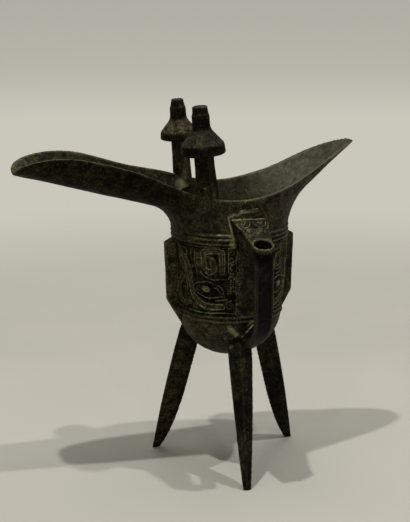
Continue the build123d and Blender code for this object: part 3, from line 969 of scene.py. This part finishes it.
class JUE_OT_flanges(Operator):
    """Cast the three ribs of the ornament band"""

    bl_idname = "jue.flanges"
    bl_label = "Flanges"

    def execute(self, context):
        bronze = bronze_for("cast_bronze_mottled_patina")
        for node in ("spout_flange", "tail_flange", "back_flange"):
            cast_single(node, bronze, seat=toward_axis(node, 1.2 * mm), shape=wear_down)
        return {"FINISHED"}


def paper(colours):
    """Matt paper: an even warm grey with a faint cloudiness, shown as written away from the vessel."""
    material = bpy.data.materials.new("matt_paper")
    material.use_nodes = True
    tree = material.node_tree
    place = add(tree, "TexCoord").outputs["Object"]
    clouds = add(tree, "TexNoise", {"Scale": 1 / (140 * mm), "Detail": 4}, {"Vector": place})
    tone = add(
        tree,
        "ValToRGB",
        links={"Fac": clouds.outputs["Fac"]},
        stops=((0.3, [0.97 * c for c in colours.floor]), (0.7, [1.03 * c for c in colours.floor])),
    )
    shader = tree.nodes["Principled BSDF"]
    tree.links.new(tone.outputs["Color"], shader.inputs["Base Color"])
    shader.inputs["Roughness"].default_value = 0.9
    shader.inputs["Specular IOR Level"].default_value = 0.1
    distance = add(tree, "VectorMath", {}, {0: place}, operation="LENGTH")
    away = add(
        tree,
        "MapRange",
        {"From Min": 0.3, "From Max": 0.75},
        {"Value": distance.outputs["Value"]},
        interpolation_type="SMOOTHSTEP",
    )
    path = add(tree, "LightPath")
    seen = add(
        tree,
        "Math",
        {},
        {0: path.outputs["Is Camera Ray"], 1: path.outputs["Is Glossy Ray"]},
        operation="MAXIMUM",
    )
    share = add(tree, "Math", {}, {0: away.outputs[0], 1: seen.outputs[0]}, operation="MULTIPLY")
    far = add(tree, "MapRange", {"From Max": 3.0}, {"Value": distance.outputs["Value"]})
    far_tone = add(
        tree, "ValToRGB", links={"Fac": far.outputs[0]}, stops=((0.5, colours.floor), (0.9, colours.wall))
    )
    glow = add(tree, "Emission", {}, {"Color": far_tone.outputs["Color"]})
    both = add(tree, "MixShader", {}, {0: share.outputs[0], 1: shader.outputs[0], 2: glow.outputs[0]})
    tree.links.new(both.outputs[0], tree.nodes["Material Output"].inputs["Surface"])
    return material


def sweep(material):
    """Round floor that rises on all sides in one curve."""
    floor_radius = 2.2
    turn_radius = 0.8
    top = 2.6
    steps = 12
    profile = [(0.35, 0.0), (1.0, 0.0), (floor_radius, 0.0)]
    for step in range(1, steps + 1):
        turn = math.radians(90 * step / steps)
        profile.append((floor_radius + turn_radius * math.sin(turn), turn_radius * (1 - math.cos(turn))))
    profile.append((floor_radius + turn_radius, top))
    sides = 64
    angles = [2 * math.pi * side / sides for side in range(sides)]
    shape = bmesh.new()
    rings = []
    for radius, height in profile:
        ring = [(radius * math.cos(angle), radius * math.sin(angle), height) for angle in angles]
        rings.append([shape.verts.new(place) for place in ring])
    shape.faces.new(rings[0])
    for inner, outer in zip(rings, rings[1:]):
        for side in range(sides):
            after = (side + 1) % sides
            shape.faces.new((inner[side], outer[side], outer[after], inner[after]))
    mesh = bpy.data.meshes.new("paper_sweep")
    shape.to_mesh(mesh)
    shape.free()
    mesh.shade_smooth()
    mesh.materials.append(material)
    body = new_object("paper_sweep", mesh)


# Each lamp's turn about the cup and tilt from straight up in degrees, distance and width in metres
# and power in watts
lamps = {
    "left_light": (217, 15, 1.5, 0.035, 8),
    "right_light": (322, 19, 1.5, 0.035, 6),
    "front_left_light": (232, 52, 1.6, 0.05, 1.1),
    "front_right_light": (268, 53, 1.6, 0.05, 1.1),
    "top_light": (80, 12, 1.6, 1.2, 8),
}


def studio_lamp(name, turn, tilt, distance, size, power):
    """A square lamp that looks at the middle of the cup."""
    lamp = bpy.data.lights.new(name, "AREA")
    lamp.size = size
    lamp.energy = power
    turn, tilt = math.radians(turn), math.radians(tilt)
    outward = Vector((math.sin(tilt) * math.cos(turn), math.sin(tilt) * math.sin(turn), math.cos(tilt)))
    body = bpy.data.objects.new(name, lamp)
    body.location = Vector((axis_x, axis_y, 0.1)) + distance * outward
    body.rotation_mode = "QUATERNION"
    body.rotation_quaternion = outward.to_track_quat("Z", "Y")
    bpy.context.scene.collection.objects.link(body)


def room_light(scene):
    """Weak warm light from all sides."""
    world = bpy.data.worlds.new("room")
    world.use_nodes = True
    background = world.node_tree.nodes["Background"]
    background.inputs["Color"].default_value = (1.0, 0.98, 0.94, 1)
    background.inputs["Strength"].default_value = 0.1
    scene.world = world


def photo_camera(scene):
    """The photograph's eye, worked out from the outline of the vessel in a picture 522 pixels tall."""
    eye = Vector((axis_x, axis_y, 0)) + Vector((-200.8, -600.3, 270.9)) * mm
    target = Vector((axis_x, axis_y, 0)) + Vector((-13.8, 0, 114.1)) * mm
    picture_height = 522
    focal_pixels = 1210
    roll = math.radians(-0.4)
    camera = bpy.data.cameras.new("camera")
    camera.sensor_width = 36
    camera.lens = camera.sensor_width * focal_pixels / picture_height
    camera.clip_start = 0.01
    body = bpy.data.objects.new("camera", camera)
    body.location = eye
    body.rotation_mode = "QUATERNION"
    body.rotation_quaternion = (target - eye).to_track_quat("-Z", "Y") @ Quaternion((0, 0, 1), roll)
    scene.collection.objects.link(body)
    scene.camera = body


class JUE_OT_stage(Operator):
    """Set up the floor, the lights and the camera of the photograph"""

    bl_idname = "jue.stage"
    bl_label = "Stage"

    def execute(self, context):
        scene = context.scene
        scene.view_settings.view_transform = "Standard"
        sweep(paper(scene.jue_colours))
        for name, values in lamps.items():
            studio_lamp(name, *values)
        room_light(scene)
        photo_camera(scene)
        return {"FINISHED"}


class JUE_PT_panel(Panel):
    """Sizes, colours and pieces of the vessel"""

    bl_idname = "JUE_PT_panel"
    bl_label = "Bronze jue vessel"
    bl_space_type = "VIEW_3D"
    bl_region_type = "UI"
    bl_category = "Jue"

    def draw(self, context):
        for group in (context.scene.jue_sizes, context.scene.jue_colours):
            for name in group.__annotations__:
                self.layout.prop(group, name)
        for operator in operators:
            self.layout.operator(operator.bl_idname)


operators = (JUE_OT_shell, JUE_OT_posts, JUE_OT_handle, JUE_OT_legs, JUE_OT_flanges, JUE_OT_stage)
classes = (JueSizes, JueColours, *operators, JUE_PT_panel)


def register():
    """Adds the classes and the settings to Blender."""
    for item in classes:
        bpy.utils.register_class(item)
    bpy.types.Scene.jue_sizes = PointerProperty(type=JueSizes)
    bpy.types.Scene.jue_colours = PointerProperty(type=JueColours)


def unregister():
    """Takes the settings and the classes out again."""
    del bpy.types.Scene.jue_sizes
    del bpy.types.Scene.jue_colours
    for item in reversed(classes):
        bpy.utils.unregister_class(item)


def main():
    """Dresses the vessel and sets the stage."""
    register()
    bpy.ops.jue.shell()
    bpy.ops.jue.posts()
    bpy.ops.jue.handle()
    bpy.ops.jue.legs()
    bpy.ops.jue.flanges()
    bpy.ops.jue.stage()


if __name__ == "__main__":
    main()
